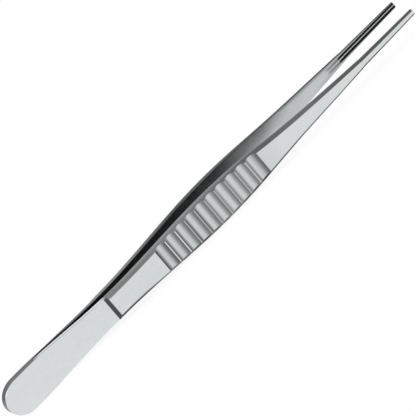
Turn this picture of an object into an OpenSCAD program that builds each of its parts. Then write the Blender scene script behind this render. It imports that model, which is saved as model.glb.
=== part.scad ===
// Thumb forceps with atraumatic jaws.
// Two forged spring arms are welded flat to flat at the butt. Each arm has a thin
// spring, a raised panel behind a sloped step, a grip of concave flutes ground across
// the outer face, a tapered shank and a straight narrow jaw. The back jaw carries a
// single row of fine teeth between two channels, the front jaw the two rows that fit them.
// X runs from butt to tips, Y across the opening and Z over the width of the arms.
// The forceps lie on the side edges of both arms, as they come to rest on a table.

/* [Overall] */
// Length from the end of the butt to the tips
length = 150; // [130:1:180]
// Length of the weld, from the butt end to where the arms part
weld_length = 14.5; // [12:0.1:20]
// Thickness of one arm at the butt
butt_thick = 1.3; // [1.1:0.05:1.6]
// Thickness of one arm along the spring
spring_thick = 1.5; // [1.2:0.05:1.7]

/* [Plan outline] */
// Greatest width of the butt, which is the widest place of the arms
butt_width = 10.2; // [9:0.1:11]
// Distance from the butt end to its greatest width
butt_full_at = 8; // [7:0.5:10]
// Length of the rounded end of the butt
butt_round = 6; // [4:0.25:7]
// Width at the waist between butt and grip
waist_width = 7.3; // [6.2:0.05:8]
// Distance from the butt end to the waist
waist_at = 41; // [40.5:0.5:44]
// How much narrower than the butt the grip is at its widest place
grip_inset = 0.45; // [0:0.05:1]
// Distance from the butt end to the widest place of the grip
grip_full_at = 76; // [72:0.5:80]
// Width of the shank where the jaw begins
shank_end_width = 2.6; // [2.5:0.05:3]
// Width of the jaw at its root
jaw_width = 2.45; // [2.2:0.05:2.5]
// Width of the jaw at the tip
tip_width = 1.8; // [1.7:0.02:2]
// Size of the small corner cut at the tip
tip_corner = 0.25; // [0.1:0.05:0.4]

/* [Opening between the arms] */
// Gap between the arms at the step
step_gap = 2.5; // [2:0.1:3]
// Gap between the arms at the widest place of the grip
grip_gap = 5.05; // [4.4:0.05:5.6]
// Distance from the butt end to where the arms turn further outwards
flare_at = 90; // [86:0.5:94]
// Gap between the arms where they turn further outwards
flare_gap = 6.7; // [6.2:0.1:7.2]
// Gap between the arms where the shank begins
shank_gap = 8.8; // [8.2:0.1:9.4]
// Gap between the arms where the jaws begin
jaw_gap = 10.8; // [10:0.1:11]
// Gap between the jaws at the tips
tip_gap = 11.1; // [10.4:0.1:11.8]

/* [Step and panel] */
// Distance from the butt end to the foot of the step
step_at = 37.7; // [35:0.1:38.5]
// Length of the sloped face of the step
step_run = 1.1; // [0.8:0.05:1.5]
// Thickness of the arm at the panel
panel_thick = 2.35; // [2:0.05:2.6]

/* [Fluted grip] */
// Distance from the butt end to the first flute
grip_at = 56; // [53:0.05:58]
// Number of flutes
flute_count = 10; // [6:1:12]
// Distance from one flute to the next
flute_pitch = 3.72; // [3.3:0.01:3.9]
// Flat land between two flutes
flute_land = 0.3; // [0.2:0.05:0.8]
// Depth of a flute below the lands
flute_depth = 0.48; // [0.3:0.02:0.54]
// How much wider the first and the last flute are
end_flute_extra = 0.25; // [0:0.05:0.5]
// Thickness of the arm at the widest place of the grip
grip_thick = 2.7; // [2.4:0.05:3]

/* [Shank] */
// Distance from the butt end to where the shank begins
shank_at = 99; // [98:0.5:103]
// Thickness of the arm where the arms turn further outwards
flare_thick = 2.15; // [2:0.05:2.3]
// Thickness of the arm where the shank begins
shank_thick = 1.6; // [1.4:0.05:1.9]
// Thickness of the shank where the jaw begins
shank_end_thick = 1.4; // [1.2:0.05:1.6]
// Width of the bevel along the long edges of the outer face
edge_bevel = 0.76; // [0.6:0.02:0.84]

/* [Jaws] */
// Length of the jaw
jaw_length = 20; // [18:0.5:22]
// Length of the small shoulder between shank and jaw
jaw_lead = 0.6; // [0.4:0.1:1]
// Thickness of the jaw at the tip, without its teeth
jaw_thick = 1; // [0.9:0.05:1.3]
// Height that the two rows of teeth stand above the jaw
tooth_height = 0.32; // [0.28:0.02:0.4]
// Depth of the notch between two teeth
tooth_notch = 0.2; // [0.1:0.01:0.24]
// Distance from one tooth to the next
tooth_pitch = 0.5; // [0.4:0.05:0.8]
// Width of the single row of teeth
ridge_width = 0.46; // [0.4:0.02:0.5]
// Width of each channel beside the single row
channel_width = 0.52; // [0.44:0.01:0.54]
// Clearance around a row of teeth when the jaws close
row_clearance = 0.05; // [0.03:0.01:0.08]
// Length over which the channels fade out into the shank
channel_runout = 5; // [3:0.25:6]

/* [Hidden] */

// Extra length of every cutting or limiting shape past the metal
overrun = 1;
// Straight spans in each stretch of an outline, and in the rounded end of the butt
spans = 12;
end_spans = 18;
// Slope of the bevels, measured from the outer face
bevel_angle = 45;

panel_at = step_at + step_run;
jaw_at = length - jaw_length;
mid_shank_at = (shank_at + jaw_at) / 2;
grip_width = butt_width - grip_inset;
half_height = butt_width / 2;
flute_chord = flute_pitch - flute_land;
flute_radius = (pow(flute_chord / 2, 2) + pow(flute_depth, 2)) / (2 * flute_depth);
channel_depth = tooth_height + row_clearance;
row_width = channel_width - 2 * row_clearance;
row_offset = (ridge_width + channel_width) / 2;
tooth_count = floor((jaw_length - jaw_lead) / tooth_pitch);

// Where the taper from grip to jaw is, as shares of its length and of the width it loses
taper_shares = [[0.14, 0.036], [0.26, 0.132], [0.41, 0.36], [0.59, 0.604], [0.81, 0.826]];

// Plan width at places along the arm
width_knots = concat(
    [[butt_full_at, butt_width], [waist_at, waist_width], [grip_full_at, grip_width]],
    [for (s = taper_shares) [
        grip_full_at + s[0] * (jaw_at - grip_full_at),
        grip_width - s[1] * (grip_width - shank_end_width)
    ]],
    [[jaw_at, shank_end_width]]
);

// Distance from the mid plane to the inner face
inner_knots = [
    [weld_length, 0],
    [panel_at, step_gap / 2],
    [grip_full_at, grip_gap / 2],
    [flare_at, flare_gap / 2],
    [shank_at, shank_gap / 2],
    [jaw_at, jaw_gap / 2],
    [length, tip_gap / 2]
];

// Thickness of the arm from the weld to the step, and from the panel to the tip
spring_knots = [[weld_length, butt_thick], [step_at, spring_thick]];
thick_knots = [
    [panel_at, panel_thick],
    [grip_full_at, grip_thick],
    [flare_at, flare_thick],
    [shank_at, shank_thick],
    [jaw_at, shank_end_thick],
    [length, jaw_thick]
];

// Share of the full bevel along the arm. It is below zero from the butt to the step, where
// the bevel plane passes outside the metal, as it does when a belt runs off the panel.
bevel_spring_share = -0.22;
bevel_shank_share = 1.13;
bevel_mid_share = 0.95;
bevel_jaw_share = 0.74;
bevel_tip_share = 0.58;
bevel_knots = [
    [0, bevel_spring_share],
    [step_at, bevel_spring_share],
    [panel_at, 1],
    [grip_full_at, 1],
    [shank_at, bevel_shank_share],
    [mid_shank_at, bevel_mid_share],
    [jaw_at, bevel_jaw_share],
    [length, bevel_tip_share]
];

// Slope of the straight line from a knot to the next
function secant(knots, i) =
    (knots[i + 1][1] - knots[i][1]) / (knots[i + 1][0] - knots[i][0]);

// Slope of the smooth curve at a knot, level wherever the knots turn back
function knot_slope(knots, i) =
    i == 0 ? 0
    : i == len(knots) - 1 ? secant(knots, i - 1)
    : let (before = secant(knots, i - 1), after = secant(knots, i))
      before * after <= 0 ? 0 : 2 * before * after / (before + after);

// Height at x of the smooth curve through the knots, which never overshoots them
function curve(knots, x, i = 0) =
    i < len(knots) - 2 && x > knots[i + 1][0] ? curve(knots, x, i + 1)
    : let (
        run = knots[i + 1][0] - knots[i][0],
        u = min(1, max(0, (x - knots[i][0]) / run))
    )
    knots[i][1] * (2 * pow(u, 3) - 3 * pow(u, 2) + 1)
    + knots[i + 1][1] * (3 * pow(u, 2) - 2 * pow(u, 3))
    + run * knot_slope(knots, i) * (pow(u, 3) - 2 * pow(u, 2) + u)
    + run * knot_slope(knots, i + 1) * (pow(u, 3) - pow(u, 2));

// Equal steps along a stretch, from its start up to but not at its end
function stretch(from, to) = [for (i = [0 : spans - 1]) from + (to - from) * i / spans];

function reversed(list) = [for (i = [len(list) - 1 : -1 : 0]) list[i]];

// Places where the outlines have points: the rounded butt end, then the arm
end_places = [for (i = [1 : end_spans]) butt_round * (1 - cos(90 * i / end_spans))];
spring_places = concat(stretch(weld_length, step_at), [step_at]);
grip_places = concat(
    stretch(panel_at, grip_at),
    stretch(grip_at, grip_full_at),
    stretch(grip_full_at, shank_at),
    stretch(shank_at, mid_shank_at),
    stretch(mid_shank_at, jaw_at)
);
jaw_places = [jaw_at, jaw_at + jaw_lead, length - tip_corner, length];
arm_places = concat(spring_places, grip_places, jaw_places);
all_places = concat(end_places, stretch(butt_full_at, weld_length), arm_places);

function inner_at(x) = x <= weld_length ? 0 : curve(inner_knots, x);

function thickness_at(x) = x <= step_at ? curve(spring_knots, x) : curve(thick_knots, x);

// Distance from the mid plane to the outer face
function outer_at(x) =
    inner_at(x) + thickness_at(x) - max(0, x - (length - tip_corner));

// Half of the plan width, with an elliptical end to the butt
function half_width_at(x) =
    x < butt_round ? butt_width / 2 * sqrt(1 - pow(1 - x / butt_round, 2))
    : x < butt_full_at ? butt_width / 2
    : x <= jaw_at ? curve(width_knots, x) / 2
    : jaw_half_width_at(x);

function jaw_half_width_at(x) =
    (jaw_width + (tip_width - jaw_width) * (x - jaw_at) / jaw_length) / 2
    - max(0, x - (length - tip_corner));

// Side view of one arm, on the positive side of the mid plane
module side_profile() {
    outer_edge = [for (x = arm_places) [x, outer_at(x)]];
    inner_edge = [for (x = arm_places) [x, inner_at(x)]];
    polygon(concat([[0, 0], [0, butt_thick]], outer_edge, reversed(inner_edge)));
}

// Plan view of one arm, the same on both sides of its centre line
module plan_outline() {
    upper_edge = [for (x = all_places) [x, half_width_at(x)]];
    lower_edge = [for (p = upper_edge) [p[0], -p[1]]];
    polygon(concat([[0, 0]], upper_edge, reversed(lower_edge)));
}

// Everything below one bevel plane of the outer face, swept across the arm
module bevel_limit(side) {
    limit = [
        for (x = concat([0], all_places)) [
            x,
            outer_at(x) * cos(bevel_angle)
            + (half_width_at(x) - edge_bevel * curve(bevel_knots, x)) * sin(bevel_angle)
        ]
    ];
    floor_level = -half_height - overrun;
    rotate([side * bevel_angle, 0, 0])
        linear_extrude(2 * (half_height + jaw_gap), center = true)
            polygon(concat([[0, floor_level]], limit, [[length, floor_level]]));
}

// Middles of the flutes. The first and the last are ground in two passes, side by side.
first_flute_at = grip_at + flute_pitch / 2;
last_flute_at = first_flute_at + (flute_count - 1) * flute_pitch;
flute_places = concat(
    [first_flute_at - end_flute_extra],
    [for (i = [0 : flute_count - 1]) first_flute_at + i * flute_pitch],
    [last_flute_at + end_flute_extra]
);

// Concave flutes ground straight across the outer face
module flutes() {
    for (x = flute_places)
        translate([x, outer_at(x) + flute_radius - flute_depth, 0])
            cylinder(r = flute_radius, h = 2 * (half_height + overrun), center = true, $fn = 64);
}

// One arm without its teeth, outer face towards positive Y
module arm_blank() {
    difference() {
        intersection() {
            linear_extrude(2 * (half_height + overrun), center = true)
                side_profile();
            rotate([90, 0, 0])
                linear_extrude(2 * (jaw_gap + overrun), center = true)
                    plan_outline();
            bevel_limit(1);
            bevel_limit(-1);
        }
        flutes();
    }
}

// Zigzag line of tooth tops and notches along the jaw, above the inner face by a height
function tooth_line(height) = concat(
    [for (i = [0 : tooth_count - 1]) each let (x = jaw_at + jaw_lead + i * tooth_pitch) [
        [x, inner_at(x) - height],
        [x + tooth_pitch / 2, inner_at(x) - height + tooth_notch]
    ]],
    [[length, inner_at(length) - height]]
);

// A pair of toothed rows that stand above the inner face of the jaw
module tooth_rows() {
    intersection() {
        for (side = [-1, 1])
            translate([0, 0, side * row_offset])
                linear_extrude(row_width, center = true)
                    polygon(concat(
                        [[jaw_at, inner_at(jaw_at)], [jaw_at, inner_at(jaw_at) + jaw_thick / 2]],
                        [[length, inner_at(length) + jaw_thick / 2]],
                        reversed(tooth_line(tooth_height))
                    ));
        rotate([90, 0, 0])
            linear_extrude(2 * (jaw_gap + overrun), center = true)
                plan_outline();
    }
}

// Two channels that fade out into the shank and leave a single ridge between them
module channels() {
    runout_at = jaw_at - channel_runout;
    start_at = runout_at - overrun;
    for (side = [-1, 1])
        translate([0, 0, side * row_offset])
            linear_extrude(channel_width, center = true)
                polygon([
                    [start_at, inner_at(runout_at) - channel_depth * overrun / channel_runout],
                    [jaw_at, inner_at(jaw_at) + channel_depth],
                    [length + overrun, inner_at(length) + channel_depth],
                    [length + overrun, 0],
                    [start_at, 0]
                ]);
}

// Notches between the teeth of the single ridge
module ridge_notches() {
    linear_extrude(ridge_width + channel_width, center = true)
        polygon(concat(
            [[jaw_at + jaw_lead, 0]],
            tooth_line(0),
            [[length + overrun, inner_at(length)], [length + overrun, 0]]
        ));
}

// Moves an arm from its own outline to the middle of the table that it lies on
module on_table() {
    translate([-length / 2, 0, half_height])
        children();
}

module front_arm() {
    color([0.78, 0.79, 0.8])
        on_table()
            mirror([0, 1, 0]) {
                arm_blank();
                tooth_rows();
            }
}

module back_arm() {
    color([0.72, 0.73, 0.75])
        on_table()
            difference() {
                arm_blank();
                channels();
                ridge_notches();
            }
}

front_arm();
back_arm();
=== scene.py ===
"""Satin steel thumb forceps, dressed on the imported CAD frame, on a plain pale stage."""

import math

import bmesh
import bpy
from mathutils import Matrix, Vector


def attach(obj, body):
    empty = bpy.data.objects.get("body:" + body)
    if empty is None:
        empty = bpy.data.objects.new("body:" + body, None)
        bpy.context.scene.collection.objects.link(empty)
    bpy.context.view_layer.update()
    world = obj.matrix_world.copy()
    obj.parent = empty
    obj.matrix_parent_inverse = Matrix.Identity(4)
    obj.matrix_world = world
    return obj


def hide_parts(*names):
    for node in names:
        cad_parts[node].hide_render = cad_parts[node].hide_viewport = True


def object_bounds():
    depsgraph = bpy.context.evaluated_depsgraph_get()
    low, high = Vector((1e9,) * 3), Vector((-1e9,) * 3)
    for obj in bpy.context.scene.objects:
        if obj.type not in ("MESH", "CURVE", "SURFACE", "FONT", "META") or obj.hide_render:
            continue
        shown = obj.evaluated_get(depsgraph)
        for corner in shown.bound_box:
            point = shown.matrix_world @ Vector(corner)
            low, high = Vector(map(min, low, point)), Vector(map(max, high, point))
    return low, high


bl_info = {
    "name": "Thumb Forceps",
    "version": (1, 0, 0),
    "blender": (4, 5, 0),
    "location": "View3D > Sidebar > Forceps",
    "description": "Builds ground and polished thumb forceps on their CAD frame",
    "category": "Add Mesh",
}

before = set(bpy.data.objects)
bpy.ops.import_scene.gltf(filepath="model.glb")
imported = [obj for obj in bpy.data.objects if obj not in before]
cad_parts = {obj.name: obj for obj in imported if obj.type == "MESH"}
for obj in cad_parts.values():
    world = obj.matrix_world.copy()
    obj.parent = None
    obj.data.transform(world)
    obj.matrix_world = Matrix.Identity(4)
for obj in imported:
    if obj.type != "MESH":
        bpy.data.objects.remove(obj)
CAD_BOX = [list(corner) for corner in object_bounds()]
MM = 0.001

# The arm in millimetres, measured from the butt end, as it is in the CAD source.
WELD_END = 14.5
BUTT_ROUND = 6.0
BUTT_HALF_WIDTH = 5.1
STEP_AT = 37.7
PANEL_AT = 38.8
GRIP_AT = 56.0
FLUTES = 10
FLUTE_PITCH = 3.72
FLUTE_CHORD = 3.42
FLUTE_DEPTH = 0.48
END_FLUTE_EXTRA = 0.25
JAW_AT = 130.0
JAW_LEAD = 0.6
TIP_AT = 150.0
TIP_CORNER = 0.25
TOOTH_PITCH = 0.5
ROW_HEIGHT = 0.32
CHANNEL_DEPTH = 0.37
CHANNEL_RUNOUT = 5.0
RIDGE_WIDTH = 0.46
CHANNEL_WIDTH = 0.52
ROW_WIDTH = 0.42

WIDTHS = (
    (8.0, 10.2), (41.0, 7.3), (76.0, 9.75), (83.56, 9.4926), (90.04, 8.8062),
    (98.14, 7.176), (107.86, 5.4314), (119.74, 3.8441), (130.0, 2.6),
)
JAW_WIDTHS = ((130.0, 2.45), (150.0, 1.8))
INNER = (
    (14.5, 0.0), (38.8, 1.25), (76.0, 2.525), (90.0, 3.35), (99.0, 4.4), (130.0, 5.4),
    (150.0, 5.55),
)
SPRING = ((14.5, 1.3), (37.7, 1.5))
BODY = (
    (38.8, 2.35), (76.0, 2.7), (90.0, 2.15), (99.0, 1.6), (130.0, 1.4), (150.0, 1.0),
)
BEVELS = (
    (0.0, -0.1672), (37.7, -0.1672), (38.8, 0.76), (76.0, 0.76), (99.0, 0.8588),
    (114.5, 0.722), (130.0, 0.5624), (150.0, 0.4408),
)
# Radius to which the outer edge is blended: soft on the spring, crisp behind the step.
EDGE_BLEND = ((0.0, 0.14), (11.0, 0.14), (20.0, 0.4), (34.0, 0.4), (37.5, 0.09), (150.0, 0.09))
# How much painted shade and painted dark reflection is mixed into the steel's colour along the arm:
# the outer face, the inner face, the sides of each arm, and the bevels of the upper and the lower
# edge. The sides differ between the arms, as they stand in for what each arm mirrors.
FACE_PAINTED_SHADE = ((0.0, 0.0), (38.0, 0.0), (50.0, 0.02), (90.0, 0.05), (93.0, 0.12), (101.0, 0.02))
INNER_PAINTED_SHADE = (
    (14.0, 1.0), (30.0, 1.0), (40.0, 0.78), (58.0, 0.72), (70.0, 0.63), (78.0, 0.56),
    (86.0, 0.61), (95.0, 0.46), (101.0, 0.39), (105.0, 0.29), (111.0, 0.21), (120.0, 0.15),
    (124.0, 0.21), (128.0, 0.26),
)
FRONT_SIDE_PAINTED_SHADE = (
    (0.0, 0.85), (13.5, 0.85), (16.0, 0.0), (37.3, 0.0), (38.6, 0.76), (44.0, 0.7),
    (68.0, 0.69), (78.0, 0.77), (87.0, 0.77), (96.0, 0.84), (110.0, 0.8), (124.0, 0.87),
    (135.0, 0.89), (150.0, 0.86),
)
BACK_SIDE_PAINTED_SHADE = (
    (0.0, 0.85), (13.5, 0.85), (15.5, 1.0), (23.0, 1.0), (28.0, 0.79), (38.0, 0.7),
    (48.0, 0.73), (58.0, 0.87), (68.0, 0.98), (78.0, 0.95), (87.0, 0.92), (97.0, 0.92),
    (112.0, 1.0), (126.0, 1.0), (131.0, 0.91), (150.0, 0.91),
)
# How far the painted shade of the sides of each arm reaches round its outer edge.
FRONT_SIDE_REACH = ((0.0, 0.012),)
BACK_SIDE_REACH = ((14.0, 0.06), (16.0, 0.32), (23.0, 0.32), (28.0, 0.06))
# The bevels' painted shade stands in for their dark reflection of the grey room and of the floor's
# shadow.
UPPER_BEVEL_PAINTED_SHADE = (
    (36.0, 0.1), (39.5, 0.6), (68.0, 0.6), (78.0, 0.69), (87.0, 0.765), (97.0, 0.78),
    (110.0, 0.71), (124.0, 0.81), (135.0, 0.84), (150.0, 0.82),
)
LOWER_BEVEL_PAINTED_SHADE = (
    (36.0, 0.1), (38.9, 1.0), (44.0, 1.0), (50.0, 0.92), (58.0, 0.68), (68.0, 0.94),
    (78.0, 0.74), (87.0, 0.9), (97.0, 1.0), (110.0, 0.87), (124.0, 1.0),
)
# How far the painted shade of the lower bevel reaches past it onto the outer face.
LOWER_SPILL = ((38.8, 0.14), (48.0, 0.12), (54.0, 0.0), (122.0, 0.0), (132.0, 0.1))
# How much shade is painted on the two walls of a flute along the grip, and how far from its middle
# the painted shade of each wall begins and is full, as a share of half its width.
NEAR_WALL_PAINTED_SHADE = (
    (56.0, 0.94), (60.0, 0.87), (71.0, 0.89), (77.0, 0.62), (90.0, 0.72), (95.0, 0.78),
)
FAR_WALL_PAINTED_SHADE = ((56.0, 0.9), (60.0, 0.85), (64.0, 0.77), (90.0, 0.73), (93.0, 0.82))
NEAR_WALL_SHARES = ((57.5, -0.1), (59.5, 0.15))
FAR_WALL_SHARES = ((89.5, -0.2), (90.5, -0.5))
NEAR_WALL_FULL = 0.85
FAR_WALL_FULL = 0.95
# How high above a flute its painted shade starts and is full.
FLUTE_LIP = (-0.02, 0.05)
# Where along the grip painted shade starts on the lands, and where it stops again.
LANDS_FROM = (63.7, 66.5)
LANDS_UNTIL = (88.4, 91.4)
# How far the painted shade of the riser and of a bevel fades outside and inside its edge.
RISER_OUT = 0.1
RISER_IN = 0.15
BAND_IN = 0.1
BAND_OUT = 0.04
# How much shade is painted on the riser, the floor of a flute, the lands between the flutes, and
# the ridge and the rims beside the channels, and how far the painted shade of a channel reaches
# past its walls and its run-out.
RISER_PAINTED_SHADE = 0.92
FLUTE_PAINTED_SHADE = 0.14
LAND_PAINTED_SHADE = 0.38
RIDGE_PAINTED_SHADE = 0.2
RIM_PAINTED_SHADE = 0.3
CHANNEL_SPILL = 0.05
SHADE_RUNOUT = 6.5
# How much shade is painted on the streak before a channel, and the shares of that run-out over
# which the streak and then the channel's own painted shade fade in.
STREAK_PAINTED_SHADE = 0.6
STREAK_FADE = (0.0, 0.25)
CHANNEL_FADE = (0.7, 0.9)
# The back arm's inner face: how much its painted shade between the arms rises to the upper edge and
# falls to the lower one behind the grip, and how much it rises to the lower edge before the jaw.
UPPER_TILT = 0.22
LOWER_TILT = 0.45
TILT_FROM = (90.0, 96.0)
TILT_UNTIL = (101.0, 108.0)
LOWER_RIM_PAINTED_SHADE = 0.2
LOWER_RIM_FROM = (115.0, 123.0)
# Radius of the inner edges, which is larger along the spring, and how far inside them the
# painted shade of the sides turns into that of the inner face.
INNER_EDGE = ((14.0, 0.05), (16.0, 0.25), (30.0, 0.25), (37.0, 0.05))
EDGE_RAMP = 0.05
BACK_UPPER_RAMP = 0.12

# Shares at which a section has its points, steps of the sections along one tooth, the run
# of a wall across a section, and the angle from which an edge stays sharp.
FLAT_SHARES = (0.0, 0.25, 0.5, 0.75, 0.93, 1.0)
EDGE_SHARES = (0.94, 0.88, 0.8, 0.7, 0.6, 0.5, 0.4, 0.3, 0.2, 0.12, 0.06, 0.02, 0.0)
RIM_SHARES = (1.2, 0.7, 0.3, 0.08, 0.0)
TOOTH_STEPS = (0.0, 0.04, 0.125, 0.21, 0.25, 0.29, 0.375, 0.46)
WALL = 0.012
SHARP_ANGLE = math.radians(34)

# The steel: grinding lines per metre along each axis, clouds per metre, how far the lines
# tint the colour, the range of roughness and the relief of the lines.
GRINDING = (250.0, 9000.0, 9000.0)
CLOUDS = 160.0
LINE_TINT = (0.95, 1.03)
ROUGHNESS = (0.24, 0.34)
RELIEF = 0.12
RELIEF_DEPTH = 0.00002

# The stage: half the floor's side, how white the floor is to camera, mirror and glass rays,
# the grey of the room, its bright walls (direction, where the glow starts and is full) and
# the lamps (name, direction, distance, side, watts).
FLOOR_REACH = 4.0
FLOOR_WHITE = 0.9
ROOM_GREY = (0.61, 0.62, 0.625)
BRIGHT_WALLS = (((0.1, -0.96, 0.26), (0.68, 0.9)), ((0.19, 0.89, 0.41), (0.78, 0.93)))
LAMPS = (
    ("key_lamp", (-0.75, -0.1, 0.66), 1.2, 0.6, 8.0),
    ("fill_lamp", (0.8, -0.25, 0.55), 1.3, 0.6, 5.0),
)
# The camera: degrees to the side, down and of roll, and the point that it looks at.
VIEW_ANGLES = (12.0, 24.0, 40.51)
VIEW_AIM = (0.000415, 0.000076, 0.004653)
SENSOR_WIDTH = 36.0


def knot_slope(knots, i):
    """Slope of the smooth curve at a knot, level where the knots turn back."""
    if i == 0:
        return 0.0
    before = (knots[i][1] - knots[i - 1][1]) / (knots[i][0] - knots[i - 1][0])
    if i == len(knots) - 1:
        return before
    after = (knots[i + 1][1] - knots[i][1]) / (knots[i + 1][0] - knots[i][0])
    return 0.0 if before * after <= 0 else 2 * before * after / (before + after)


def curve(knots, x):
    """Height at x of the smooth curve through the knots, which never overshoots them."""
    i = 0
    while i < len(knots) - 2 and x > knots[i + 1][0]:
        i += 1
    run = knots[i + 1][0] - knots[i][0]
    u = min(1.0, max(0.0, (x - knots[i][0]) / run))
    return (
        knots[i][1] * (2 * u**3 - 3 * u**2 + 1)
        + knots[i + 1][1] * (3 * u**2 - 2 * u**3)
        + run * knot_slope(knots, i) * (u**3 - 2 * u**2 + u)
        + run * knot_slope(knots, i + 1) * (u**3 - u**2)
    )


def straight(knots, x):
    """Height at x of the straight lines through the knots, level past both ends."""
    if x <= knots[0][0]:
        return knots[0][1]
    for (x0, y0), (x1, y1) in zip(knots, knots[1:]):
        if x <= x1:
            return y0 + (y1 - y0) * (x - x0) / (x1 - x0)
    return knots[-1][1]


def ease(low, high, x):
    """0 below low, 1 above high and a smooth rise between them."""
    u = min(1.0, max(0.0, (x - low) / (high - low)))
    return u * u * (3 - 2 * u)


def lower_of(a, b, blend):
    """The lower of two heights, with the corner between them blended."""
    h = max(blend - abs(a - b), 0.0) / blend
    return min(a, b) - h * h * blend / 4


def upper_of(a, b, blend):
    """The higher of two heights, with the corner between them blended."""
    return -lower_of(-a, -b, blend)


def round_off(depth, radius):
    """How far a rounded corner falls away, at a distance inside its edge."""
    if depth >= radius:
        return 0.0
    return radius - math.sqrt(max(0.0, radius**2 - (radius - depth) ** 2))


def half_width(x):
    """Half the width of an arm in plan, with its round butt, shoulder and tip corners."""
    if x < BUTT_ROUND:
        return BUTT_HALF_WIDTH * math.sqrt(max(0.0, 1 - (1 - x / BUTT_ROUND) ** 2))
    if x <= JAW_AT:
        return curve(WIDTHS, x) / 2
    shoulder = (curve(WIDTHS, JAW_AT) - JAW_WIDTHS[0][1]) / 2
    shoulder *= 1 - ease(JAW_AT, JAW_AT + JAW_LEAD, x)
    return straight(JAW_WIDTHS, x) / 2 + shoulder - round_off(TIP_AT - x, TIP_CORNER)


def inset_from_rim(x, z, w):
    """Distance from a point of the plan view to the outline."""
    if x < BUTT_ROUND:
        across, along = z / BUTT_HALF_WIDTH, (BUTT_ROUND - x) / BUTT_ROUND
        slope = 2 * math.hypot(across / BUTT_HALF_WIDTH, along / BUTT_ROUND)
        return max(0.0, 1 - across**2 - along**2) / max(slope, 1e-6)
    return max(0.0, w - abs(z))


def inner_line(x):
    """Inner face on the centre line: half the gap between the arms."""
    return 0.0 if x <= WELD_END else curve(INNER, x)


def outer_line(x, blend):
    """Outer face on the centre line, with its step and without its flutes."""
    spring = inner_line(x) + curve(SPRING, x)
    panel = inner_line(x) + curve(BODY, x)
    foot = inner_line(STEP_AT) + curve(SPRING, STEP_AT)
    head = inner_line(PANEL_AT) + curve(BODY, PANEL_AT)
    ramp = foot + (head - foot) * (x - STEP_AT) / (PANEL_AT - STEP_AT)
    if x < STEP_AT - 1:
        return spring
    if x < PANEL_AT + 1:
        return lower_of(panel, upper_of(spring, ramp, blend), blend)
    return panel - round_off(TIP_AT - x, TIP_CORNER)


def flute_middles():
    """Middles of the flutes. The first and the last are ground in two passes."""
    middles = [GRIP_AT + (i + 0.5) * FLUTE_PITCH for i in range(FLUTES)]
    return [middles[0] - END_FLUTE_EXTRA, *middles, middles[-1] + END_FLUTE_EXTRA]


def flute_surface(x):
    """Height of the lowest flute at x, and how far x lies from its middle, as a share."""
    radius = ((FLUTE_CHORD / 2) ** 2 + FLUTE_DEPTH**2) / (2 * FLUTE_DEPTH)
    lowest, share = None, 9.0
    for middle in flute_middles():
        off = x - middle
        if abs(off) > 0.8 * radius:
            continue
        centre = inner_line(middle) + curve(BODY, middle) + radius - FLUTE_DEPTH
        y = centre - math.sqrt(radius**2 - off**2)
        if lowest is None or y < lowest:
            lowest, share = y, off / (FLUTE_CHORD / 2)
    return lowest, share


def outer_face(x, z, w, blend, sides, reach):
    """Height and painted shade of the outer side at a point of the plan view."""
    edge = curve(EDGE_BLEND, x)
    inset = inset_from_rim(x, z, w)
    bevel = curve(BEVELS, x)
    y = outer_line(x, blend)
    y = lower_of(y, y + inset - bevel, blend)
    riser = ease(STEP_AT - RISER_OUT, STEP_AT + RISER_IN, x)
    riser *= 1 - ease(PANEL_AT - RISER_IN, PANEL_AT + RISER_OUT, x)
    face = straight(FACE_PAINTED_SHADE, x)
    band = straight(LOWER_BEVEL_PAINTED_SHADE if z < 0 else UPPER_BEVEL_PAINTED_SHADE, x)
    border = bevel + (straight(LOWER_SPILL, x) if z < 0 and x > STEP_AT else 0.0)
    band = face + (band - face) * (1 - ease(border - BAND_IN, border + BAND_OUT, inset))
    # Painted shade on the riser and the bevel bands, then on the flutes' walls, floors and lands.
    painted_shade = max(RISER_PAINTED_SHADE * riser, band)
    flute, share = flute_surface(x)
    if flute is not None:
        inside = ease(*FLUTE_LIP, y - flute)
        y = lower_of(y, flute, blend)
        near_wall = ease(straight(NEAR_WALL_SHARES, x), NEAR_WALL_FULL, -share)
        near_wall *= straight(NEAR_WALL_PAINTED_SHADE, x)
        far_wall = ease(straight(FAR_WALL_SHARES, x), FAR_WALL_FULL, share)
        far_wall *= straight(FAR_WALL_PAINTED_SHADE, x)
        end = band if z < 0 else 0.0
        painted_shade = max(painted_shade, LAND_PAINTED_SHADE * ease(*LANDS_FROM, x) * (1 - ease(*LANDS_UNTIL, x)))
        painted_shade += (max(near_wall, far_wall, FLUTE_PAINTED_SHADE, end) - painted_shade) * inside
    if inset < straight(reach, x):
        painted_shade = straight(sides, x)
    return y - round_off(inset, edge), painted_shade


def tooth_notch(x, depth):
    """How deep the notches between the teeth are at x."""
    start = JAW_AT + JAW_LEAD
    if x <= start or x >= TIP_AT:
        return 0.0
    share = ((x - start) / TOOTH_PITCH) % 1.0
    return depth * (1 - abs(2 * share - 1))


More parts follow.
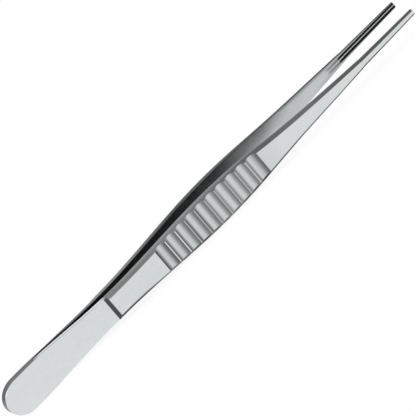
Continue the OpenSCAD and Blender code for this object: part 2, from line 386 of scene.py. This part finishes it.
def inner_face(x, z, w, rows, notch, sides):
    """Height and painted shade of the inner side. rows is True on the arm with two rows."""
    y = inner_line(x)
    side = abs(z)
    inset = inset_from_rim(x, z, w)
    # Painted shade between the arms, then on the ridge, the rims, the channels and the streak
    # before them.
    painted_shade = straight(INNER_PAINTED_SHADE, x)
    near, far = RIDGE_WIDTH / 2, RIDGE_WIDTH / 2 + CHANNEL_WIDTH
    if rows:
        middle = (near + far) / 2
        if JAW_AT <= x and middle - ROW_WIDTH / 2 <= side <= middle + ROW_WIDTH / 2:
            rise = min(1.0, (x - JAW_AT) / JAW_LEAD)
            y += -ROW_HEIGHT * rise + tooth_notch(x, notch) + round_off(TIP_AT - x, TIP_CORNER)
    else:
        fade = min(1.0, max(0.0, 1 - (JAW_AT - x) / CHANNEL_RUNOUT))
        if near < side < far:
            y += CHANNEL_DEPTH * fade
        elif side <= near:
            y += tooth_notch(x, notch)
            painted_shade = max(painted_shade, RIDGE_PAINTED_SHADE * ease(JAW_AT, TIP_AT, x))
        if side > far:
            painted_shade = max(painted_shade, RIM_PAINTED_SHADE * ease(JAW_AT - 2, JAW_AT, x))
        if near - CHANNEL_SPILL - 0.01 < side < far + CHANNEL_SPILL + 0.01:
            fade = min(1.0, max(0.0, 1 - (JAW_AT - x) / SHADE_RUNOUT))
            painted_shade = max(painted_shade, STREAK_PAINTED_SHADE * ease(*STREAK_FADE, fade), ease(*CHANNEL_FADE, fade))
        elif z < 0:
            painted_shade += LOWER_RIM_PAINTED_SHADE * ease(*LOWER_RIM_FROM, x) * side / w
    if not rows and TILT_FROM[0] < x < TILT_UNTIL[1]:
        tilt = LOWER_TILT if z < 0 else UPPER_TILT
        tilt *= ease(*TILT_FROM, x) * (1 - ease(*TILT_UNTIL, x))
        painted_shade = max(0.0, painted_shade + tilt * z / w)
    edge, radius = straight(sides, x), straight(INNER_EDGE, x)
    ramp = BACK_UPPER_RAMP if z > 0 and not rows else EDGE_RAMP
    return y + round_off(inset, radius), edge + (painted_shade - edge) * ease(0.0, ramp, inset)


def spread(low, high, step):
    """Places from low up to but not at high, about one step apart."""
    count = max(1, round((high - low) / step))
    return [low + (high - low) * i / count for i in range(count)]


def stations():
    """Places along the arm at which its section is shaped, close together at detail."""
    places = [BUTT_ROUND * (1 - math.cos(math.radians(90 * i / 28))) for i in range(28)]
    places += spread(BUTT_ROUND, WELD_END, 1.0) + spread(WELD_END, STEP_AT - 0.6, 0.9)
    places += spread(STEP_AT - 0.6, PANEL_AT + 0.5, 0.06) + spread(PANEL_AT + 0.5, GRIP_AT, 0.9)
    for i in range(FLUTES):
        middle = GRIP_AT + (i + 0.5) * FLUTE_PITCH
        start = middle - FLUTE_CHORD / 2 - (END_FLUTE_EXTRA if i == 0 else 0)
        end = middle + FLUTE_CHORD / 2 + (END_FLUTE_EXTRA if i == FLUTES - 1 else 0)
        places += spread(start - 0.2, start + 0.2, 0.04) + spread(start + 0.2, end - 0.2, 0.17)
        places += spread(end - 0.2, end + 0.2, 0.04)
    places += spread(GRIP_AT + FLUTES * FLUTE_PITCH + 0.3, JAW_AT - CHANNEL_RUNOUT, 0.6)
    places += spread(JAW_AT - CHANNEL_RUNOUT, JAW_AT - 0.1, 0.3)
    places += spread(JAW_AT - 0.1, JAW_AT + JAW_LEAD, 0.1)
    teeth = int((TIP_AT - JAW_AT - JAW_LEAD) / TOOTH_PITCH)
    for i in range(teeth):
        places += [JAW_AT + JAW_LEAD + i * TOOTH_PITCH + step for step in TOOTH_STEPS]
    last = JAW_AT + JAW_LEAD + teeth * TOOTH_PITCH
    places += spread(last, TIP_AT - TIP_CORNER, 0.1) if last < TIP_AT - TIP_CORNER else []
    places += [TIP_AT - TIP_CORNER * (1 - math.sin(math.radians(15 * i))) for i in range(7)]
    places = sorted(places)
    return [x for x, after in zip(places, places[1:] + [1e9]) if after - x > 0.004]


def outer_sides(x, w):
    """Places across the outer side, from one edge to the other."""
    zone = min(0.85 * w, 1.1 * max(curve(BEVELS, x), curve(EDGE_BLEND, x), 0.2))
    half = [(w - zone) * share for share in FLAT_SHARES]
    half += [w - zone * share for share in EDGE_SHARES]
    return [-z for z in reversed(half[1:])] + half


def inner_sides(x, w, rows):
    """Places across the inner side, on the walls of rows and channels where there are any."""
    near, far = RIDGE_WIDTH / 2, RIDGE_WIDTH / 2 + CHANNEL_WIDTH
    if rows:
        near, far = (near + far - ROW_WIDTH) / 2, (near + far + ROW_WIDTH) / 2
        on_row = [near - WALL, near, (near + far) / 2 - WALL, (near + far) / 2, far, far + WALL]
    else:
        spill = CHANNEL_SPILL
        on_row = [near - 2 * spill, near - spill, near, near + WALL]
        on_row += [far - WALL, far, far + spill, far + 2 * spill]
    edge = min(straight(INNER_EDGE, x), 0.1 * w)
    rim = [w - edge * share for share in RIM_SHARES]
    fit = min(1.0, max(0.0, w - 0.07) / (on_row[-1] + 0.02))
    half = [0.0, near * 0.4 * fit] + [z * fit for z in on_row] + rim
    inner = len(half) - len(rim)
    spaced = [0.88 * w * i / (inner - 1) for i in range(inner)] + rim
    share = ease(JAW_AT - 30, JAW_AT - CHANNEL_RUNOUT - 1, x)
    half = [a + (b - a) * share for a, b in zip(spaced, half)]
    return [-z for z in reversed(half[1:])] + half


def arm_mesh(name, rows, sizes):
    """One arm as a tube of sections, shaped from a flat grid of stations and sides."""
    blend, notch = sizes.edge_break / MM, sizes.tooth_notch / MM
    places = stations()
    x, w = GRIP_AT, half_width(GRIP_AT)
    across = len(outer_sides(x, w)) + len(inner_sides(x, w, rows))
    work = bmesh.new()
    bmesh.ops.create_grid(work, x_segments=len(places) - 1, y_segments=across, size=0.5)
    # Share of painted shade and painted dark reflection at each point, mixed into the steel's
    # colour.
    painted_shade_layer = work.verts.layers.float.new("painted_shade")
    work.verts.ensure_lookup_table()
    turn = -1 if rows else 1
    sides = FRONT_SIDE_PAINTED_SHADE if rows else BACK_SIDE_PAINTED_SHADE
    reach = FRONT_SIDE_REACH if rows else BACK_SIDE_REACH
    for i, x in enumerate(places):
        w = half_width(x)
        ring = [(z, *outer_face(x, z, w, blend, sides, reach)) for z in outer_sides(x, w)]
        ring += [
            (z, *inner_face(x, z, w, rows, notch, sides)) for z in reversed(inner_sides(x, w, rows))
        ]
        ring.append(ring[0])
        for j, (z, y, painted_shade) in enumerate(ring):
            vert = work.verts[j * len(places) + i]
            vert.co = Vector((
                CAD_BOX[0][0] + x * MM,
                turn * y * MM,
                CAD_BOX[0][2] + (BUTT_HALF_WIDTH + z) * MM,
            ))
            vert[painted_shade_layer] = painted_shade
    bmesh.ops.remove_doubles(work, verts=work.verts, dist=1e-7)
    bmesh.ops.holes_fill(work, edges=[e for e in work.edges if e.is_boundary], sides=0)
    bmesh.ops.recalc_face_normals(work, faces=work.faces)
    for face in work.faces:
        face.smooth = True
    for edge in work.edges:
        edge.smooth = edge.calc_face_angle(math.pi) < SHARP_ANGLE
    mesh = bpy.data.meshes.new(name)
    work.to_mesh(mesh)
    work.free()
    return mesh


def add_piece(context, mesh, node):
    """Puts a finished mesh in the scene in the place of its CAD node."""
    piece = bpy.data.objects.new(mesh.name, mesh)
    context.scene.collection.objects.link(piece)
    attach(piece, "root")
    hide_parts(node)


def node_at(tree, kind, x, y, **values):
    """A shader node at a place in its tree, with its settings."""
    node = tree.nodes.new(kind)
    node.location = (x, y)
    for key, value in values.items():
        setattr(node, key, value)
    return node


def range_node(tree, x, y, source, result, **values):
    """A shader node that maps one range of values to another."""
    node = node_at(tree, "ShaderNodeMapRange", x, y, **values)
    for key, value in zip(("From Min", "From Max", "To Min", "To Max"), (*source, *result)):
        node.inputs[key].default_value = value
    return node


def grind_group():
    """Fine grinding lines along one direction: a height and a mask of their density."""
    tree = bpy.data.node_groups.get("Grinding Lines")
    if tree:
        return tree
    tree = bpy.data.node_groups.new("Grinding Lines", "ShaderNodeTree")
    face = tree.interface
    face.new_socket("Vector", in_out="INPUT", socket_type="NodeSocketVector")
    face.new_socket("Lines", in_out="INPUT", socket_type="NodeSocketVector")
    face.new_socket("Height", in_out="OUTPUT", socket_type="NodeSocketFloat")
    face.new_socket("Cloud", in_out="OUTPUT", socket_type="NodeSocketFloat")
    start = node_at(tree, "NodeGroupInput", -700, 0)
    scale = node_at(tree, "ShaderNodeVectorMath", -480, 80, operation="MULTIPLY")
    lines = node_at(tree, "ShaderNodeTexNoise", -260, 120)
    lines.inputs["Scale"].default_value = 1.0
    lines.inputs["Detail"].default_value = 3.0
    cloud = node_at(tree, "ShaderNodeTexNoise", -260, -160)
    cloud.inputs["Scale"].default_value = CLOUDS
    cloud.inputs["Detail"].default_value = 2.0
    end = node_at(tree, "NodeGroupOutput", 60, 0)
    link = tree.links.new
    link(start.outputs["Vector"], scale.inputs[0])
    link(start.outputs["Lines"], scale.inputs[1])
    link(scale.outputs["Vector"], lines.inputs["Vector"])
    link(start.outputs["Vector"], cloud.inputs["Vector"])
    link(lines.outputs["Fac"], end.inputs["Height"])
    link(cloud.outputs["Fac"], end.inputs["Cloud"])
    return tree


def steel_material(colours):
    """Polished flats, with painted shade and painted dark reflections mixed into the colour by the
    painted_shade attribute, and grinding lines along the arm.
    """
    material = bpy.data.materials.get("Satin Steel")
    if material:
        return material
    material = bpy.data.materials.new("Satin Steel")
    material.use_nodes = True
    tree = material.node_tree
    tree.nodes.clear()
    link = tree.links.new
    place = node_at(tree, "ShaderNodeTexCoord", -1300, 0)
    grind = node_at(tree, "ShaderNodeGroup", -1060, 0, node_tree=grind_group())
    grind.inputs["Lines"].default_value = GRINDING
    # The painted_shade attribute mixes the dark colour into the polished one: painted shade and
    # painted dark reflections.
    painted_shade = node_at(tree, "ShaderNodeAttribute", -1060, -260, attribute_name="painted_shade")
    colour = node_at(tree, "ShaderNodeMix", -700, 120, data_type="RGBA")
    colour.inputs["A"].default_value = (*colours.polished, 1.0)
    colour.inputs["B"].default_value = (*colours.painted_shade, 1.0)
    streak = range_node(tree, -700, -100, (0.35, 0.65), LINE_TINT)
    shaded = node_at(tree, "ShaderNodeMix", -440, 120, data_type="RGBA", blend_type="MULTIPLY")
    shaded.inputs["Factor"].default_value = 1.0
    rough = range_node(tree, -440, -160, (0.3, 0.7), ROUGHNESS)
    bump = node_at(tree, "ShaderNodeBump", -200, -320)
    bump.inputs["Strength"].default_value = RELIEF
    bump.inputs["Distance"].default_value = RELIEF_DEPTH
    steel = node_at(tree, "ShaderNodeBsdfPrincipled", 60, 0)
    steel.inputs["Metallic"].default_value = 1.0
    out = node_at(tree, "ShaderNodeOutputMaterial", 340, 0)
    link(place.outputs["Object"], grind.inputs["Vector"])
    link(painted_shade.outputs["Fac"], colour.inputs["Factor"])
    link(grind.outputs["Height"], streak.inputs["Value"])
    link(colour.outputs["Result"], shaded.inputs["A"])
    link(streak.outputs["Result"], shaded.inputs["B"])
    link(grind.outputs["Cloud"], rough.inputs["Value"])
    link(shaded.outputs["Result"], steel.inputs["Base Color"])
    link(rough.outputs["Result"], steel.inputs["Roughness"])
    link(grind.outputs["Height"], bump.inputs["Height"])
    link(bump.outputs["Normal"], steel.inputs["Normal"])
    link(steel.outputs["BSDF"], out.inputs["Surface"])
    return material


class ForcepsSizes(bpy.types.PropertyGroup):
    edge_break: bpy.props.FloatProperty(
        name="Edge Break",
        description="Width over which crisp ground edges are blended",
        default=0.0001, min=0.00002, max=0.0003, unit="LENGTH", precision=5,
    )
    tooth_notch: bpy.props.FloatProperty(
        name="Tooth Notch",
        description="Depth of the notch between two teeth",
        default=0.0002, min=0.00005, max=0.00025, unit="LENGTH", precision=5,
    )


class ForcepsColours(bpy.types.PropertyGroup):
    polished: bpy.props.FloatVectorProperty(
        name="Polished Steel",
        description="Colour of the polished flats",
        default=(0.698, 0.722, 0.728), min=0.0, max=1.0, subtype="COLOR",
    )
    # Dark colour mixed in as painted shade and painted dark reflections, not a colour of the steel.
    painted_shade: bpy.props.FloatVectorProperty(
        name="Painted Shade",
        description="Colour of the walls of flutes and step, and between the arms",
        default=(0.02, 0.021, 0.022), min=0.0, max=1.0, subtype="COLOR",
    )


class ForcepsStage(bpy.types.PropertyGroup):
    floor_colour: bpy.props.FloatVectorProperty(
        name="Floor",
        description="Colour of the pale floor",
        default=(0.86, 0.86, 0.86), min=0.0, max=1.0, subtype="COLOR",
    )
    lens: bpy.props.FloatProperty(
        name="Lens",
        description="Focal length of the camera in millimetres",
        default=1325.3, min=50.0, max=2000.0,
    )
    distance: bpy.props.FloatProperty(
        name="Camera Distance",
        description="From the camera to the middle of the arms",
        default=4.0, min=0.3, max=6.0, unit="LENGTH",
    )


class FORCEPS_OT_front_arm(bpy.types.Operator):
    """Build the front arm, whose jaw has two rows of teeth"""

    bl_idname = "forceps.front_arm"
    bl_label = "Front Arm"

    def execute(self, context):
        mesh = arm_mesh("front_arm_steel", True, context.scene.forceps_sizes)
        mesh.materials.append(steel_material(context.scene.forceps_colours))
        add_piece(context, mesh, "front_arm")
        return {"FINISHED"}


class FORCEPS_OT_back_arm(bpy.types.Operator):
    """Build the back arm, whose jaw has one row of teeth between two channels"""

    bl_idname = "forceps.back_arm"
    bl_label = "Back Arm"

    def execute(self, context):
        mesh = arm_mesh("back_arm_steel", False, context.scene.forceps_sizes)
        mesh.materials.append(steel_material(context.scene.forceps_colours))
        add_piece(context, mesh, "back_arm")
        return {"FINISHED"}


class FORCEPS_OT_stage(bpy.types.Operator):
    """Lay the pale floor, hang the lamps and set the camera"""

    bl_idname = "forceps.stage"
    bl_label = "Stage"

    def execute(self, context):
        stage = context.scene.forceps_stage
        lay_floor(context, stage)
        light_world(context)
        hang_lamps(context)
        set_camera(context, stage)
        context.scene.view_settings.view_transform = "Standard"
        return {"FINISHED"}


def lay_floor(context, stage):
    """The pale floor, nearly white to camera, mirror and glass rays, which keeps shadows."""
    work = bmesh.new()
    bmesh.ops.create_grid(work, x_segments=1, y_segments=1, size=FLOOR_REACH)
    mesh = bpy.data.meshes.new("pale_floor")
    work.to_mesh(mesh)
    work.free()
    floor = bpy.data.objects.new("pale_floor", mesh)
    context.scene.collection.objects.link(floor)
    material = bpy.data.materials.new("Pale Floor")
    material.use_nodes = True
    tree = material.node_tree
    tree.nodes.clear()
    link = tree.links.new
    paint = node_at(tree, "ShaderNodeBsdfDiffuse", -300, 100)
    paint.inputs["Color"].default_value = (*stage.floor_colour, 1.0)
    white = node_at(tree, "ShaderNodeEmission", -300, -60)
    white.inputs["Strength"].default_value = 1.0
    path = node_at(tree, "ShaderNodeLightPath", -960, 300)
    seen = node_at(tree, "ShaderNodeMath", -740, 300, operation="ADD")
    mirrored = node_at(tree, "ShaderNodeMath", -520, 300, operation="ADD", use_clamp=True)
    part = node_at(tree, "ShaderNodeMath", -300, 300, operation="MULTIPLY")
    part.inputs[1].default_value = FLOOR_WHITE
    mix = node_at(tree, "ShaderNodeMixShader", 0, 100)
    out = node_at(tree, "ShaderNodeOutputMaterial", 200, 100)
    link(path.outputs["Is Camera Ray"], seen.inputs[0])
    link(path.outputs["Is Glossy Ray"], seen.inputs[1])
    link(seen.outputs["Value"], mirrored.inputs[0])
    link(path.outputs["Is Transmission Ray"], mirrored.inputs[1])
    link(mirrored.outputs["Value"], part.inputs[0])
    link(part.outputs["Value"], mix.inputs["Fac"])
    link(paint.outputs["BSDF"], mix.inputs[1])
    link(white.outputs["Emission"], mix.inputs[2])
    link(mix.outputs["Shader"], out.inputs["Surface"])
    mesh.materials.append(material)


def light_world(context):
    """A pale grey room with a bright wall before and behind the forceps."""
    world = bpy.data.worlds.new("Studio")
    world.use_nodes = True
    context.scene.world = world
    tree = world.node_tree
    tree.nodes.clear()
    link = tree.links.new
    place = node_at(tree, "ShaderNodeTexCoord", -1200, -100)
    both = node_at(tree, "ShaderNodeMath", -600, -100, operation="MAXIMUM")
    room = node_at(tree, "ShaderNodeMix", -400, -100, data_type="RGBA")
    room.inputs["A"].default_value = (*ROOM_GREY, 1.0)
    room.inputs["B"].default_value = (1.0, 1.0, 1.0, 1.0)
    sky = node_at(tree, "ShaderNodeBackground", -200, -100)
    out = node_at(tree, "ShaderNodeOutputWorld", 0, -100)
    for i, (direction, rise) in enumerate(BRIGHT_WALLS):
        height = -100 - 300 * i
        ahead = node_at(tree, "ShaderNodeVectorMath", -1000, height, operation="DOT_PRODUCT")
        ahead.inputs[1].default_value = direction
        glow = range_node(tree, -800, height, rise, (0.0, 1.0), interpolation_type="SMOOTHSTEP")
        link(place.outputs["Generated"], ahead.inputs[0])
        link(ahead.outputs["Value"], glow.inputs["Value"])
        link(glow.outputs["Result"], both.inputs[i])
    link(both.outputs["Value"], room.inputs["Factor"])
    link(room.outputs["Result"], sky.inputs["Color"])
    link(sky.outputs["Background"], out.inputs["Surface"])


def hang_lamps(context):
    """Two broad soft lamps, one high on the left and one high on the right."""
    for name, direction, distance, size, power in LAMPS:
        data = bpy.data.lights.new(name, "AREA")
        data.energy = power
        data.size = size
        lamp = bpy.data.objects.new(name, data)
        aim = Vector(direction).normalized()
        lamp.location = aim * distance
        lamp.rotation_euler = aim.to_track_quat("Z", "Y").to_euler()
        context.scene.collection.objects.link(lamp)


def set_camera(context, stage):
    """The photograph's view: from the front, a little to the left, looking down, and rolled."""
    side, down, roll = (math.radians(angle) for angle in VIEW_ANGLES)
    view = Vector((
        math.sin(side) * math.cos(down),
        math.cos(side) * math.cos(down),
        -math.sin(down),
    ))
    level = Vector((math.cos(side), -math.sin(side), 0.0))
    upright = level.cross(view)
    right = level * math.cos(roll) - upright * math.sin(roll)
    up = level * math.sin(roll) + upright * math.cos(roll)
    aim = Vector(VIEW_AIM)
    data = bpy.data.cameras.new("photo_camera")
    data.lens = stage.lens
    data.sensor_width = SENSOR_WIDTH
    data.clip_start = 0.01
    data.clip_end = 50.0
    camera = bpy.data.objects.new("photo_camera", data)
    turn = Matrix((right, up, -view)).transposed().to_4x4()
    camera.matrix_world = Matrix.Translation(aim - view * stage.distance) @ turn
    context.scene.collection.objects.link(camera)
    context.scene.camera = camera


class FORCEPS_PT_panel(bpy.types.Panel):
    """Sizes, colours and build steps of the forceps"""

    bl_idname = "FORCEPS_PT_panel"
    bl_label = "Thumb Forceps"
    bl_space_type = "VIEW_3D"
    bl_region_type = "UI"
    bl_category = "Forceps"

    def draw(self, context):
        layout = self.layout
        for group in ("forceps_sizes", "forceps_colours", "forceps_stage"):
            settings = getattr(context.scene, group)
            for key in settings.bl_rna.properties.keys():
                if key not in {"rna_type", "name"}:
                    layout.prop(settings, key)
        for step in PIECES:
            layout.operator(step.bl_idname)


GROUPS = (
    ("forceps_sizes", ForcepsSizes),
    ("forceps_colours", ForcepsColours),
    ("forceps_stage", ForcepsStage),
)
PIECES = (FORCEPS_OT_front_arm, FORCEPS_OT_back_arm, FORCEPS_OT_stage)


def register():
    for name, group in GROUPS:
        bpy.utils.register_class(group)
        setattr(bpy.types.Scene, name, bpy.props.PointerProperty(type=group))
    for step in PIECES:
        bpy.utils.register_class(step)
    bpy.utils.register_class(FORCEPS_PT_panel)


def unregister():
    bpy.utils.unregister_class(FORCEPS_PT_panel)
    for step in reversed(PIECES):
        bpy.utils.unregister_class(step)
    for name, group in reversed(GROUPS):
        delattr(bpy.types.Scene, name)
        bpy.utils.unregister_class(group)


def main():
    register()
    bpy.ops.forceps.front_arm()
    bpy.ops.forceps.back_arm()
    bpy.ops.forceps.stage()


if __name__ == "__main__":
    main()
